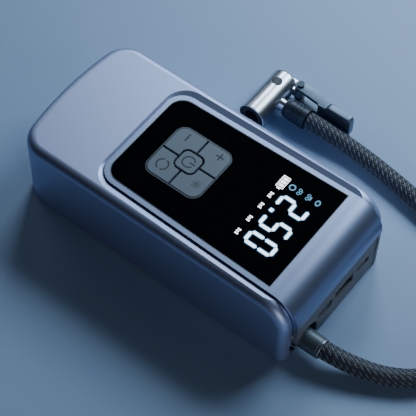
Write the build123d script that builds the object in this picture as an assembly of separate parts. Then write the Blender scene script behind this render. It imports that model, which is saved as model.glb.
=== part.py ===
from build123d import *
import math
import os

# Portable tyre inflator, lying on its back: +Z out of the display, +Y towards the port end,
# +X to the right of a person who reads the display. Millimetres. The origin is under the
# middle of the housing, on the surface that the feet stand on.

# Housing
HALF_W = 39.0
PLAIN_Y = -81.0
PLAIN_BOW_R = 180.0
CHEEK_Y = 76.3
TOP_Z = 42.0
SHELL_FOOT = 0.8
WALL = 2.4
PLAIN_CORNER_R = 14.0
EDGE_R = 4.4
FOOT_EDGE_R = 0.8
CHEEK_R = 16.0
BASE_T = 2.4

# Tongue: the bright frame that carries the glass and rolls down over the port end
TONGUE_Y0 = -36.9
TONGUE_END_Y = 79.0
TONGUE_HALF_W0 = 30.4
TAPER = 0.0225
TONGUE_CORNER_R = 9.5
TONGUE_R = 15.5
TONGUE_T = 3.0
TONGUE_SKIRT_Z = 36.5
TONGUE_WALL = 2.2
GAP = 0.35
RECESS_W = 4.2
RECESS_PLAIN_W = 1.8
RECESS_DEPTH = 1.3

# Glass
RIM_W = 2.35
GLASS_Y1 = 60.9
GLASS_T = 1.6
GLASS_LEDGE = 2.0
GLASS_CORNER_R = 8.0

# Studs under the frame that hold the display board
STUD_X = 27.2
STUD_YS = (-20.0, 10.0, 50.0)

# Keys
PAD_Y = -7.2
PAD = 29.8
PAD_R = 4.6
PAD_HOLE = 31.6
KEY_GAP = 0.9
POWER_KEY = 10.4
POWER_R = 2.6
KEY_Z0 = 39.7
KEY_Z1 = 42.5
KEY_EDGE = 0.3
KEY_TRAVEL = 0.4

# Boards
BOARD_T = 1.4
DISPLAY_BOARD_Z = 35.6
MAIN_BOARD_Z = 24.0

# Port end
PANEL_Y = 79.0
PANEL_T = 2.4
PANEL_Z1 = 25.7
PANEL_X0 = -29.6
PANEL_X1 = 32.7
PORT_Z = 15.0
PORT_BOARD_Z = 10.4
PORT_BOARD_T = 1.2
LAMP_X = 10.2
USB_A_X = -4.4
USB_C_X = -19.2
GRILLE_R = 9.8
GRILLE_Y = PANEL_Y + 0.3 - GRILLE_R
GRILLE_SLOTS = 7
GRILLE_TILT = 14.0

# Air outlet and hose
OUTLET_X = 25.1
OUTLET_Z = 9.0
OUTLET_HOLE_R = 8.8
NIPPLE_R = 4.62
NIPPLE_END_Y = 79.8
NUT_R = 5.2
NUT_BORE_R = 4.7
NUT_Y0 = 77.2
NUT_Y1 = 88.6
HOSE_R = 4.4

# Motor and compressor
MOTOR_X = -17.0
DRIVE_Z = 17.0
MOTOR_R = 12.2
MOTOR_Y0 = -5.5
MOTOR_Y1 = 25.0
MODULE = 0.6
PINION_TEETH = 9
GEAR_TEETH = 42
GEAR_X = MOTOR_X + MODULE * (PINION_TEETH + GEAR_TEETH) / 2
BRACKET_Y = 25.2
BRACKET_T = 3.0
GEAR_Y0 = 30.0
GEAR_T = 4.0
CRANK_R = 5.0
ROD_LENGTH = 22.0
ROD_Y = 37.0
ROD_T = 3.0
CYLINDER_R = 10.3
BORE_R = 8.0
PISTON_R = 7.6
SEAL_R = 7.94

# Battery
CELL_R = 9.2
CELL_LENGTH = 65.0
CELL_Y0 = -73.8
CELL_PITCH = 19.6
CELL_Z = 13.0

# Chuck: barrel along X, hose leaving it along +Y
CHUCK_X0 = -90.0
CHUCK_X1 = -60.0
CHUCK_Y = -14.8
CHUCK_R = 7.3
HOSE_END_X = -76.0
FERRULE_Y0 = -5.0
FERRULE_Y1 = 8.4
FERRULE_R = 5.4
MOUTH_DEPTH = 7.0
GASKET_R = 5.66
GASKET_BORE_R = 3.95
PLUNGER_R = 4.14
LEVER_X = -88.3
LEVER_Y = -5.0

# Hose route, from the outlet nipple to the chuck's ferrule
HOSE_ROUTE = [
    (25.1, 79.8, 9.0),
    (25.1, 91.0, 9.0),
    (22.2, 103.0, 6.3),
    (17.2, 117.0, 4.4),
    (8.0, 131.0, 4.4),
    (-7.6, 141.5, 4.4),
    (-27.9, 144.5, 4.4),
    (-46.3, 138.0, 4.4),
    (-59.8, 122.6, 4.4),
    (-65.6, 99.5, 4.4),
    (-71.4, 74.5, 4.4),
    (-75.8, 47.5, 4.4),
    (-76.8, 31.0, 5.0),
    (-76.0, 17.5, 7.3),
    (-76.0, 8.4, 7.3),
]
ARC_SHARE = 0.45


def block(x0, x1, y0, y1, z0, z1):
    """A box between two corners."""
    size = Box(x1 - x0, y1 - y0, z1 - z0)
    return Pos((x0 + x1) / 2, (y0 + y1) / 2, (z0 + z1) / 2) * size


def along_y(x, z, y0, y1, radius):
    """A cylinder along Y."""
    return Pos(x, (y0 + y1) / 2, z) * Rot(90, 0, 0) * Cylinder(radius, y1 - y0)


def along_x(y, z, x0, x1, radius):
    """A cylinder along X."""
    return Pos((x0 + x1) / 2, y, z) * Rot(0, 90, 0) * Cylinder(radius, x1 - x0)


def along_z(x, y, z0, z1, radius):
    """A cylinder along Z."""
    return Pos(x, y, (z0 + z1) / 2) * Cylinder(radius, z1 - z0)


def pad_block(size, radius, z0, z1, x=0.0, y=PAD_Y):
    """A rounded square plate."""
    return Pos(x, y, z0) * extrude(RectangleRounded(size, size, radius), z1 - z0)


def slot_y(x, z, width, height, radius, y0, y1):
    """A rounded bar along Y, for the ports and the holes that they sit in."""
    face = Plane.XZ * RectangleRounded(width, height, radius)
    return Pos(x, y1, z) * extrude(face, y1 - y0)


# ---------------------------------------------------------------- housing

def side_profile(y0, y1, z0, z1, radius):
    """A rectangle seen from the side, with its top port-end corner rounded."""
    face = make_face(Polyline((y0, z0), (y1, z0), (y1, z1), (y0, z1), close=True))
    corner = face.vertices().sort_by(Axis.X)[-2:].sort_by(Axis.Y)[-1]
    return Plane.YZ * fillet(corner, radius)


def plain_bow(inset):
    """A large upright drum whose edge is the slightly bowed plain end."""
    return along_z(0, PLAIN_Y + PLAIN_BOW_R, -10, 60, PLAIN_BOW_R - inset)


def housing_form(inset, bottom):
    """The housing's outside, or its inside where inset is the wall's thickness."""
    half = HALF_W - inset
    profile = side_profile(PLAIN_Y, CHEEK_Y - inset, bottom, TOP_Z - inset, CHEEK_R - inset)
    form = extrude(profile, half, both=True) & plain_bow(inset)
    upright = form.edges().filter_by(Axis.Z).group_by(Axis.Y)[0]
    form = fillet(upright, PLAIN_CORNER_R - inset)
    rim = [
        edge for edge in form.edges()
        if edge.center().Z > bottom + 0.5 and not is_cross_edge(edge, half)
        and not edge_is_plain_upright(edge)
    ]
    return fillet(rim, EDGE_R - inset)


def is_cross_edge(edge, half):
    """True for the straight edges across the port end, where the roll is tangent."""
    box = edge.bounding_box()
    return box.size.X > 2 * half - 1 and box.center().Y > 0


def edge_is_plain_upright(edge):
    """True for the upright seams beside the rounded plain-end corners."""
    box = edge.bounding_box()
    return box.size.X < 0.1 and box.size.Y < 0.1 and box.center().Y < 0


def tongue_half_width(y):
    """The tongue widens slightly towards the port end."""
    return TONGUE_HALF_W0 + TAPER * (y - TONGUE_Y0)


def tongue_plan(side, plain, radius, y1):
    """The tongue's outline from above, grown by side and plain."""
    y0 = TONGUE_Y0 - plain
    half0 = tongue_half_width(y0) + side
    half1 = tongue_half_width(y1) + side
    face = make_face(Polyline((-half0, y0), (half0, y0), (half1, y1), (-half1, y1), close=True))
    return fillet(face.vertices().sort_by(Axis.Y)[:2], radius)


def glass_plan(shrink):
    """The glass's outline from above: round at the plain end, square at the port end."""
    y0 = TONGUE_Y0 + RIM_W + shrink
    y1 = GLASS_Y1 - shrink
    half0 = tongue_half_width(y0) - RIM_W - shrink
    half1 = tongue_half_width(y1) - RIM_W - shrink
    face = make_face(Polyline((-half0, y0), (half0, y0), (half1, y1), (-half1, y1), close=True))
    return fillet(face.vertices().sort_by(Axis.Y)[:2], GLASS_CORNER_R - shrink)


def recess():
    """The sloping band in the shell round the tongue."""
    low_z = TOP_Z - RECESS_DEPTH
    low = Pos(0, 0, low_z) * tongue_plan(GAP, GAP, TONGUE_CORNER_R + GAP, 90.0)
    high = Pos(0, 0, TOP_Z + 0.2) * tongue_plan(
        RECESS_W, RECESS_PLAIN_W, TONGUE_CORNER_R + RECESS_W * 0.6, 90.0
    )
    return loft([low, high], ruled=True)


SCREW_SPOTS = [(x, y) for x in (-33.4, 33.4) for y in (-50.0, 22.0)]
POST_R = 2.6
SCREW_R = 1.1
SCREW_HEAD_R = 2.1
FOOT_SPOTS = [(x, y) for x in (-27.0, 27.0) for y in (-62.0, 56.0)]
FOOT_R = 4.5
PORT_BOARD_POSTS = [(x, y) for x in (-25.0, 8.0) for y in (62.5, 74.0)]


def screw_posts():
    """Four posts down the side walls that take the base screws."""
    posts = Part()
    for x, y in SCREW_SPOTS:
        side = math.copysign(1.0, x)
        posts += along_z(x, y, SHELL_FOOT + BASE_T, 34.0, POST_R)
        rib_ends = sorted((x, side * (HALF_W - WALL + 0.4)))
        posts += block(rib_ends[0], rib_ends[1], y - 1.2, y + 1.2, SHELL_FOOT + BASE_T, 34.0)
    for x, y in SCREW_SPOTS:
        posts -= along_z(x, y, 0, 14.0, SCREW_R)
    return posts


def upper_shell():
    outside = housing_form(0, SHELL_FOOT)
    outside = fillet(outside.edges().group_by(Axis.Z)[0], FOOT_EDGE_R)
    shell = outside - housing_form(WALL, SHELL_FOOT - 5)
    opening = tongue_plan(GAP, GAP, TONGUE_CORNER_R + GAP, 90.0)
    shell -= Pos(0, 0, PANEL_Z1 + 0.2) * extrude(opening, 40)
    shell -= recess()
    shell -= block(-HALF_W - 1, PANEL_X1 + 0.15, GRILLE_Y - 0.2, CHEEK_Y + 1, -1, PANEL_Z1 + 0.2)
    shell -= along_y(OUTLET_X, OUTLET_Z, 72.4, 90, OUTLET_HOLE_R)
    return shell + screw_posts()


def base_cover():
    """The flat cover underneath, inside the shell's walls."""
    inset = WALL + 0.08
    half = HALF_W - inset
    plate = block(-half, half, PLAIN_Y, PANEL_Y - PANEL_T - 0.1, SHELL_FOOT, SHELL_FOOT + BASE_T)
    plate &= plain_bow(inset)
    plain = plate.edges().filter_by(Axis.Z).group_by(Axis.Y)[0]
    plate = fillet(plain, PLAIN_CORNER_R - inset)
    port = plate.edges().filter_by(Axis.Z).group_by(Axis.Y)[-1]
    plate = fillet(port, 9.5)
    for x, y in SCREW_SPOTS:
        plate -= along_z(x, y, 0, 5, SCREW_R + 0.15)
        plate -= along_z(x, y, 0, SHELL_FOOT + 1.4, SCREW_HEAD_R + 0.2)
    for x, y in FOOT_SPOTS:
        plate -= along_z(x, y, 0, SHELL_FOOT + 0.9, FOOT_R + 0.1)
    for i in range(7):
        plate -= Pos(MOTOR_X, 4.0 + 4.0 * i, 2) * extrude(SlotOverall(16, 1.8), 8, both=True)
    for x, y in PORT_BOARD_POSTS:
        plate += along_z(x, y, SHELL_FOOT + BASE_T - 0.1, PORT_BOARD_Z - 0.02, 2.0)
    plate -= along_y(OUTLET_X, OUTLET_Z, 72.4, 80, OUTLET_HOLE_R + 0.1)
    return plate - block(PANEL_X1 - 0.2, HALF_W, CHEEK_Y - WALL - 0.1, PANEL_Y, 0, 5)


def feet():
    pads = Part()
    for x, y in FOOT_SPOTS:
        pad = along_z(x, y, 0, SHELL_FOOT + 0.9, FOOT_R)
        pads += chamfer(pad.edges().group_by(Axis.Z)[0], 0.3)
    return pads


def base_screws():
    screws = Part()
    for x, y in SCREW_SPOTS:
        head = along_z(x, y, SHELL_FOOT + 0.1, SHELL_FOOT + 1.4, SCREW_HEAD_R)
        shank = along_z(x, y, SHELL_FOOT + 1.4, 12.0, SCREW_R)
        socket = along_z(x, y, 0, SHELL_FOOT + 0.8, 0.8)
        screws += head + shank - socket
    return screws


def fascia_frame():
    """The tongue: top frame, side skirts and the roll over the port end."""
    outer = extrude(side_profile(TONGUE_Y0 - 1, TONGUE_END_Y, PANEL_Z1 + 0.2, TOP_Z, TONGUE_R), 60, both=True)
    inner = extrude(
        side_profile(
            TONGUE_Y0 - 2, TONGUE_END_Y - TONGUE_WALL, -5, TOP_Z - TONGUE_T, TONGUE_R - TONGUE_WALL
        ),
        60, both=True,
    )
    plan = Pos(0, 0, -5) * extrude(tongue_plan(0, 0, TONGUE_CORNER_R, 90.0), 60)
    inner_plan = Pos(0, 0, -5) * extrude(
        tongue_plan(-TONGUE_WALL, -TONGUE_WALL, TONGUE_CORNER_R - TONGUE_WALL, 90.0), 60
    )
    frame = (outer & plan) - (inner & inner_plan)
    frame -= block(-60, 60, TONGUE_Y0 - 5, 60.5, -5, TONGUE_SKIRT_Z)
    frame -= Pos(0, 0, TOP_Z - GLASS_T - 0.05) * extrude(glass_plan(0), 10)
    frame -= Pos(0, 0, TOP_Z - 10) * extrude(glass_plan(GLASS_LEDGE), 20)
    for x in (-STUD_X, STUD_X):
        for y in STUD_YS:
            frame += along_z(x, y, DISPLAY_BOARD_Z + BOARD_T, TOP_Z - GLASS_T - 0.3, 1.6)
    return frame


def display_lens():
    """The black glass, with the square hole for the keys."""
    glass = Pos(0, 0, TOP_Z - GLASS_T) * extrude(glass_plan(0.06), GLASS_T)
    return glass - pad_block(PAD_HOLE, PAD_R + 0.9, 30, 50)


# ---------------------------------------------------------------- keys

def key_bezel():
    ring = pad_block(PAD_HOLE - 0.12, PAD_R + 0.84, 39.3, TOP_Z + 0.3)
    return ring - pad_block(PAD + 0.36, PAD_R + 0.18, 30, 50)


def corner_key(sign_x, sign_y):
    """One quarter of the pad, cut back from the power key and from its neighbours."""
    key = pad_block(PAD, PAD_R, KEY_Z0, KEY_Z1)
    half = KEY_GAP / 2
    far = PAD
    quarter_x = sorted((sign_x * half, sign_x * far))
    quarter_y = sorted((PAD_Y + sign_y * half, PAD_Y + sign_y * far))
    key &= block(quarter_x[0], quarter_x[1], quarter_y[0], quarter_y[1], 30, 50)
    key -= pad_block(POWER_KEY + 2 * KEY_GAP, POWER_R + KEY_GAP, 30, 50)
    return fillet(key.edges().group_by(Axis.Z)[-1], KEY_EDGE)


def power_key():
    key = pad_block(POWER_KEY, POWER_R, KEY_Z0, KEY_Z1)
    return fillet(key.edges().group_by(Axis.Z)[-1], KEY_EDGE)


def key_mat():
    """The silicone mat whose domes push the keys back up."""
    top = KEY_Z0 - KEY_TRAVEL - 0.1
    mat = pad_block(34.0, 4.0, DISPLAY_BOARD_Z + BOARD_T, top - 1.0)
    spots = [(x, y) for x in (-9.5, 9.5) for y in (-9.5, 9.5)] + [(0.0, 0.0)]
    for x, y in spots:
        mat += along_z(x, PAD_Y + y, top - 1.0, top, 2.2)
    return mat


# ---------------------------------------------------------------- boards

def display_board():
    z = DISPLAY_BOARD_Z
    return block(-28.0, 28.0, -29.0, 58.0, z, z + BOARD_T)


def display_module():
    """The segment display's block, up under the glass."""
    z = DISPLAY_BOARD_Z + BOARD_T
    module = block(-24.5, 24.5, 15.5, 57.5, z, TOP_Z - GLASS_T - 0.2)
    return fillet(module.edges().filter_by(Axis.Z), 1.0)


def main_board():
    z = MAIN_BOARD_Z
    return block(-28.0, 28.0, -72.0, -10.0, z, z + BOARD_T)


def board_parts():
    """Coil, capacitors, chips and connectors on the main board."""
    z = MAIN_BOARD_Z + BOARD_T
    parts = block(-8, 8, -46, -34, z, z + 2.2)
    parts += block(12, 22, -60, -50, z, z + 5.0)
    parts += block(-24, -16, -64, -52, z, z + 1.6)
    for i in range(3):
        parts += along_z(-20 + 9 * i, -22, z, z + 7.0, 3.2)
    for i in range(4):
        parts += block(12 + 4 * i, 14.4 + 4 * i, -40, -35, z, z + 1.4)
    return parts


PORT_BOARD_TOP = PORT_BOARD_Z + PORT_BOARD_T


def port_board():
    """The small board that carries both sockets, on posts of the base cover."""
    return block(-29.4, 12.0, 60.0, 76.2, PORT_BOARD_Z, PORT_BOARD_TOP)


def usb_a_socket():
    width, height = 13.2, 5.8
    box = slot_y(USB_A_X, PORT_Z, width, height, 0.6, 63.0, 78.2)
    box -= slot_y(USB_A_X, PORT_Z, width - 0.8, height - 0.8, 0.4, 67.0, 82.0)
    box += block(USB_A_X - 5.6, USB_A_X + 5.6, 66.9, 76.6, PORT_Z + 0.2, PORT_Z + 1.6)
    legs = block(USB_A_X - 5.0, USB_A_X + 5.0, 64.0, 72.0, PORT_BOARD_TOP, PORT_Z - height / 2 + 0.2)
    return box + legs


def usb_c_socket():
    width, height = 9.0, 3.3
    box = slot_y(USB_C_X, PORT_Z, width, height, 1.6, 66.0, 78.2)
    box -= slot_y(USB_C_X, PORT_Z, width - 0.7, height - 0.7, 1.25, 69.0, 82.0)
    box += block(USB_C_X - 3.2, USB_C_X + 3.2, 68.9, 77.0, PORT_Z - 0.35, PORT_Z + 0.35)
    legs = block(USB_C_X - 3.6, USB_C_X + 3.6, 67.0, 74.0, PORT_BOARD_TOP, PORT_Z - height / 2 + 0.2)
    return box + legs


# ---------------------------------------------------------------- port end

def end_panel():
    """The dark panel with the ports, the lamp and the hose outlet."""
    panel = block(PANEL_X0 + 0.05, PANEL_X1, PANEL_Y - PANEL_T, PANEL_Y, SHELL_FOOT, PANEL_Z1)
    panel = fillet(panel.edges().filter_by(Axis.X).group_by(Axis.Y)[-1], 0.7)
    panel -= slot_y(USB_A_X, PORT_Z, 13.9, 6.5, 0.9, 60, 90)
    panel -= slot_y(USB_C_X, PORT_Z, 9.7, 4.0, 1.9, 60, 90)
    panel -= slot_y(LAMP_X, PORT_Z, 10.5, 6.5, 3.2, 60, 90)
    panel -= along_y(OUTLET_X, OUTLET_Z, 60, 90, OUTLET_HOLE_R)
    return panel - block(OUTLET_X, PANEL_X1 + 1, 60, 90, 0, OUTLET_Z)


def grille_form(outer, thickness, z0, z1):
    """A wall that wraps the port end's corner in a quarter turn."""
    ring = along_z(PANEL_X0, GRILLE_Y, z0, z1, outer)
    ring -= along_z(PANEL_X0, GRILLE_Y, z0, z1, outer - thickness)
    return ring & block(PANEL_X0 - 20, PANEL_X0, GRILLE_Y, GRILLE_Y + 20, z0, z1)


def vent_grille():
    """The bulging corner grille with its slanted slots."""
    grille = grille_form(GRILLE_R, 2.2, SHELL_FOOT + 0.4, PANEL_Z1 - 0.2)
    for i in range(GRILLE_SLOTS):
        angle = 103.0 + 64.0 * i / (GRILLE_SLOTS - 1)
        bar = Box(12, 0.85, 15.5)
        cut = Rot(0, 0, angle) * Pos(GRILLE_R, 0, 0) * Rot(GRILLE_TILT, 0, 0) * bar
        grille -= Pos(PANEL_X0, GRILLE_Y, 15.4) * cut
    return grille


def lamp_lens():
    lens = slot_y(LAMP_X, PORT_Z, 10.2, 6.2, 3.05, 76.8, 78.6)
    return fillet(lens.edges().group_by(Axis.Y)[-1], 0.5)


def lamp_reflector():
    cup = slot_y(LAMP_X, PORT_Z, 10.2, 6.2, 3.05, 71.0, 76.7)
    return cup - slot_y(LAMP_X, PORT_Z, 8.8, 4.8, 2.35, 72.2, 82.0)


def lamp_led():
    return block(LAMP_X - 1.75, LAMP_X + 1.75, 72.25, 73.2, PORT_Z - 1.4, PORT_Z + 1.4)


# ---------------------------------------------------------------- battery

CELL_XS = (-CELL_PITCH, 0.0, CELL_PITCH)
CELL_Y1 = CELL_Y0 + CELL_LENGTH


def battery_cells():
    cells = Part()
    for x in CELL_XS:
        can = along_y(x, CELL_Z, CELL_Y0 + 0.8, CELL_Y1, CELL_R)
        can = fillet(can.edges(), 0.8)
        cells += can + along_y(x, CELL_Z, CELL_Y0, CELL_Y0 + 0.9, 3.0)
    return cells


def battery_holder():
    """The cradle under the cells, with end walls that carry the main board."""
    floor_z = SHELL_FOOT + BASE_T
    holder = block(-30.4, 30.4, CELL_Y0 + 3.0, CELL_Y1 + 0.4, floor_z, 11.0)
    for x in CELL_XS:
        holder -= along_y(x, CELL_Z, CELL_Y0 - 5, CELL_Y1 + 5, CELL_R + 0.08)
    holder += block(-30.0, 30.0, CELL_Y1 + 0.35, CELL_Y1 + 1.8, floor_z, MAIN_BOARD_Z - 3.0)
    holder += block(-26.0, -23.0, CELL_Y1 - 2.2, CELL_Y1 + 1.8, 22.6, MAIN_BOARD_Z)
    holder += block(23.0, 26.0, CELL_Y1 - 2.2, CELL_Y1 + 1.8, 22.6, MAIN_BOARD_Z)
    holder += block(-26.0, -23.0, CELL_Y1 + 0.35, CELL_Y1 + 1.8, floor_z, MAIN_BOARD_Z)
    holder += block(23.0, 26.0, CELL_Y1 + 0.35, CELL_Y1 + 1.8, floor_z, MAIN_BOARD_Z)
    return holder


def battery_tabs():
    """Nickel strips across the cells' ends."""
    tabs = block(-24.0, -4.0, CELL_Y1 + 0.02, CELL_Y1 + 0.22, CELL_Z - 1.8, CELL_Z + 3)
    tabs += block(4.0, 24.0, CELL_Y1 + 0.02, CELL_Y1 + 0.22, CELL_Z - 1.8, CELL_Z + 3)
    tabs += block(-23.0, 23.0, CELL_Y0 - 0.22, CELL_Y0 - 0.02, CELL_Z - 1.8, CELL_Z + 3)
    return tabs


# ---------------------------------------------------------------- motor and gears

def gear_outline(teeth, backlash):
    """A plain toothed outline: one trapezoid per tooth."""
    pitch_r = MODULE * teeth / 2
    tip_r = pitch_r + 0.9 * MODULE
    root_r = pitch_r - 1.2 * MODULE
    step = 2 * math.pi / teeth
    share = 0.25 * step - backlash / (2 * pitch_r)
    points = []
    for i in range(teeth):
        middle = i * step
        corners = [
            (root_r, middle - share * 1.35), (tip_r, middle - share * 0.55),
            (tip_r, middle + share * 0.55), (root_r, middle + share * 1.35),
        ]
        points += [(r * math.cos(a), r * math.sin(a)) for r, a in corners]
    return make_face(Polyline(*points, close=True))


def gear_blank(teeth, x, y0, y1, turn):
    """A spur gear with its axis along Y; turn sets where its teeth stand, in degrees."""
    face = Plane.XZ * Rot(0, 0, turn) * gear_outline(teeth, 0.12)
    return Pos(x, y1, DRIVE_Z) * extrude(face, y1 - y0)


def motor_can():
    can = along_y(MOTOR_X, DRIVE_Z, MOTOR_Y0, MOTOR_Y1, MOTOR_R)
    can = fillet(can.edges().group_by(Axis.Y)[-1], 1.2)
    can += along_y(MOTOR_X, DRIVE_Z, MOTOR_Y1 - 0.1, MOTOR_Y1 + 1.6, 4.5)
    can -= along_y(MOTOR_X, DRIVE_Z, MOTOR_Y0 - 1, MOTOR_Y1 - 1.4, MOTOR_R - 1.2)
    can -= along_y(MOTOR_X, DRIVE_Z, 0, 40, 1.35)
    return can


def motor_end_cap():
    cap = along_y(MOTOR_X, DRIVE_Z, MOTOR_Y0, MOTOR_Y0 + 3.0, MOTOR_R - 1.25)
    cap -= along_y(MOTOR_X, DRIVE_Z, MOTOR_Y0 + 1.0, MOTOR_Y0 + 5, 1.35)
    return cap


def motor_rotor():
    """The wound core inside the can."""
    core = along_y(MOTOR_X, DRIVE_Z, 0.5, 20.5, 8.6)
    for i in range(3):
        groove = Rot(0, 120 * i, 0) * Pos(0, 0, 7.5) * Box(2.0, 30, 4.5)
        core -= Pos(MOTOR_X, 10.5, DRIVE_Z) * groove
    core -= along_y(MOTOR_X, DRIVE_Z, -5, 30, 1.25)
    return core


def motor_magnets():
    ring = along_y(MOTOR_X, DRIVE_Z, 0.0, 21.0, MOTOR_R - 1.25)
    ring -= along_y(MOTOR_X, DRIVE_Z, -1, 22, 9.2)
    ring -= block(MOTOR_X - 3, MOTOR_X + 3, -5, 30, 0, 40)
    return ring


def motor_shaft():
    return along_y(MOTOR_X, DRIVE_Z, MOTOR_Y0 + 1.5, 36.0, 1.25)


def pinion():
    gear = gear_blank(PINION_TEETH, MOTOR_X, GEAR_Y0 - 0.5, GEAR_Y0 + GEAR_T + 0.5, 0.0)
    return gear - along_y(MOTOR_X, DRIVE_Z, 0, 60, 1.25)


def drive_gear():
    half_tooth = 180.0 / GEAR_TEETH
    gear = gear_blank(GEAR_TEETH, GEAR_X, GEAR_Y0, GEAR_Y0 + GEAR_T, 180.0 + half_tooth)
    gear -= along_y(GEAR_X, DRIVE_Z, 0, 60, 2.0)
    for i in range(5):
        angle = math.radians(36 + 72 * i)
        x = GEAR_X + 7.6 * math.cos(angle)
        z = DRIVE_Z + 7.6 * math.sin(angle)
        gear -= along_y(x, z, 0, 60, 2.2)
    gear -= along_y(GEAR_X + CRANK_R, DRIVE_Z, GEAR_Y0 + 1.0, 60, 1.25)
    return gear


def gear_shaft():
    return along_y(GEAR_X, DRIVE_Z, 22.6, GEAR_Y0 + GEAR_T, 2.0)


def crank_pin():
    """A short pin: it stops just behind the connecting rod's eye."""
    return along_y(GEAR_X + CRANK_R, DRIVE_Z, GEAR_Y0 + 1.0, ROD_Y - ROD_T / 2 - 0.3, 1.25)


def gear_bush():
    bush = along_y(GEAR_X, DRIVE_Z, BRACKET_Y, BRACKET_Y + BRACKET_T + 0.6, 3.4)
    return bush - along_y(GEAR_X, DRIVE_Z, 0, 60, 2.05)


def gearbox_bracket():
    """An L-shaped plate: the motor on one leg, the cylinder on the other."""
    y0 = BRACKET_Y
    y1 = BRACKET_Y + BRACKET_T
    plate = block(-29.5, 14.0, y0, y1, SHELL_FOOT + BASE_T, 30.5)
    plate += block(11.8, 14.0, y0, ROD_Y + 12.0, SHELL_FOOT + BASE_T, 29.5)
    plate -= along_y(MOTOR_X, DRIVE_Z, 0, 60, 4.6)
    plate -= along_y(GEAR_X, DRIVE_Z, 0, 60, 3.42)
    plate -= along_x(ROD_Y, DRIVE_Z, 5, 20, BORE_R)
    for z in (DRIVE_Z - 8, DRIVE_Z + 8):
        plate -= along_y(MOTOR_X, z, 0, 60, 1.3)
    return plate


def bracket_screws():
    screws = Part()
    for z in (DRIVE_Z - 8, DRIVE_Z + 8):
        screws += along_y(MOTOR_X, z, BRACKET_Y - 0.15, BRACKET_Y + BRACKET_T, 1.25)
        screws += along_y(MOTOR_X, z, BRACKET_Y + BRACKET_T, BRACKET_Y + BRACKET_T + 1.1, 2.3)
    return screws


# ---------------------------------------------------------------- compressor

CYLINDER_X0 = 14.05
CYLINDER_X1 = 30.0
HEAD_X1 = 35.9
WRIST_X = GEAR_X + CRANK_R + ROD_LENGTH


def cylinder():
    barrel = along_x(ROD_Y, DRIVE_Z, CYLINDER_X0, CYLINDER_X1, CYLINDER_R - 1.0)
    for i in range(5):
        x = CYLINDER_X0 + 3.0 + 2.8 * i
        barrel += along_x(ROD_Y, DRIVE_Z, x, x + 1.2, CYLINDER_R)
    barrel += block(CYLINDER_X0, CYLINDER_X0 + 2.0, ROD_Y - 10, ROD_Y + 10, DRIVE_Z - 10, DRIVE_Z + 10)
    return barrel - along_x(ROD_Y, DRIVE_Z, 0, 60, BORE_R)


def reed_valve():
    disc = along_x(ROD_Y, DRIVE_Z, CYLINDER_X1 + 0.02, CYLINDER_X1 + 0.4, 9.2)
    return disc - along_x(ROD_Y + 4, DRIVE_Z, 0, 60, 1.2) - along_x(ROD_Y - 4, DRIVE_Z, 0, 60, 1.2)


def cylinder_head():
    x0 = CYLINDER_X1 + 0.42
    head = along_x(ROD_Y, DRIVE_Z, x0, HEAD_X1, CYLINDER_R)
    head = fillet(head.edges().group_by(Axis.X)[-1], 1.0)
    head -= along_x(ROD_Y, DRIVE_Z, x0 - 1, x0 + 3.0, 6.0)
    head += along_y(33.2, 12.0, ROD_Y + 6.0, 49.5, 2.4)
    head -= along_y(33.2, 12.0, ROD_Y + 3.0, 60, 1.6)
    return head


def piston():
    return along_x(ROD_Y, DRIVE_Z, WRIST_X - 1.0, WRIST_X + 2.4, PISTON_R)


def piston_seal():
    seal = along_x(ROD_Y, DRIVE_Z, WRIST_X + 2.42, WRIST_X + 4.2, SEAL_R)
    return seal - along_x(ROD_Y, DRIVE_Z, WRIST_X + 3.2, WRIST_X + 6, SEAL_R - 1.2)


def connecting_rod():
    """One piece with the piston, as in small compressors: a wide eye, a web and a foot."""
    y0 = ROD_Y - ROD_T / 2
    y1 = ROD_Y + ROD_T / 2
    eye_x = GEAR_X + CRANK_R
    rod = along_y(eye_x, DRIVE_Z, y0, y1, 3.4)
    rod += block(eye_x, WRIST_X - 1.05, y0, y1, DRIVE_Z - 2.2, DRIVE_Z + 2.2)
    rod += block(WRIST_X - 3.0, WRIST_X - 1.05, ROD_Y - 4, ROD_Y + 4, DRIVE_Z - 4, DRIVE_Z + 4)
    return rod - along_y(eye_x, DRIVE_Z, 0, 60, 1.35)


def route_with_arcs(points, label):
    """Straight runs joined by tangent arcs, each as large as its shorter run allows."""
    corners = [Vector(*p) for p in points]
    radii = []
    for before, corner, after in zip(corners, corners[1:], corners[2:]):
        turn = (corner - before).get_angle(after - corner)
        shorter = min((corner - before).length, (after - corner).length)
        radii.append(ARC_SHARE * shorter / math.tan(math.radians(turn / 2)))
    print(label, "arc radii", [round(r, 1) for r in radii])
    return FilletPolyline(*points, radius=radii)


def swept_tube(points, radius, label):
    path = route_with_arcs(points, label)
    start = Plane(origin=path @ 0, z_dir=path % 0)
    tube = sweep(start * Circle(radius), path=path)
    expected = math.pi * radius ** 2 * path.length
    print(label, "length", round(path.length, 1), "volume share", round(tube.volume / expected, 4))
    return tube


def air_pipe():
    """The bent brass pipe from the cylinder head to the outlet block."""
    points = [(33.2, 49.55, 12.0), (33.2, 54.5, 12.0), (27.5, 61.0, 9.6), (27.5, 66.0, 9.6)]
    return swept_tube(points, 1.5, "air pipe")


def outlet_block():
    """The air outlet: a block behind the panel and the nipple that the hose screws to."""
    body = block(18.6, 31.6, 66.05, 73.0, 3.6, 15.4)
    body = fillet(body.edges().filter_by(Axis.Y), 1.5)
    body += along_y(OUTLET_X, OUTLET_Z, 72.9, NIPPLE_END_Y, NIPPLE_R)
    return body - along_y(OUTLET_X, OUTLET_Z, 69.0, 90.0, 1.6)


def pressure_sensor():
    sensor = block(21.1, 29.1, 66.5, 72.5, 15.42, 18.6)
    sensor += along_z(OUTLET_X, 69.5, 18.5, 20.2, 1.6)
    return sensor


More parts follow.
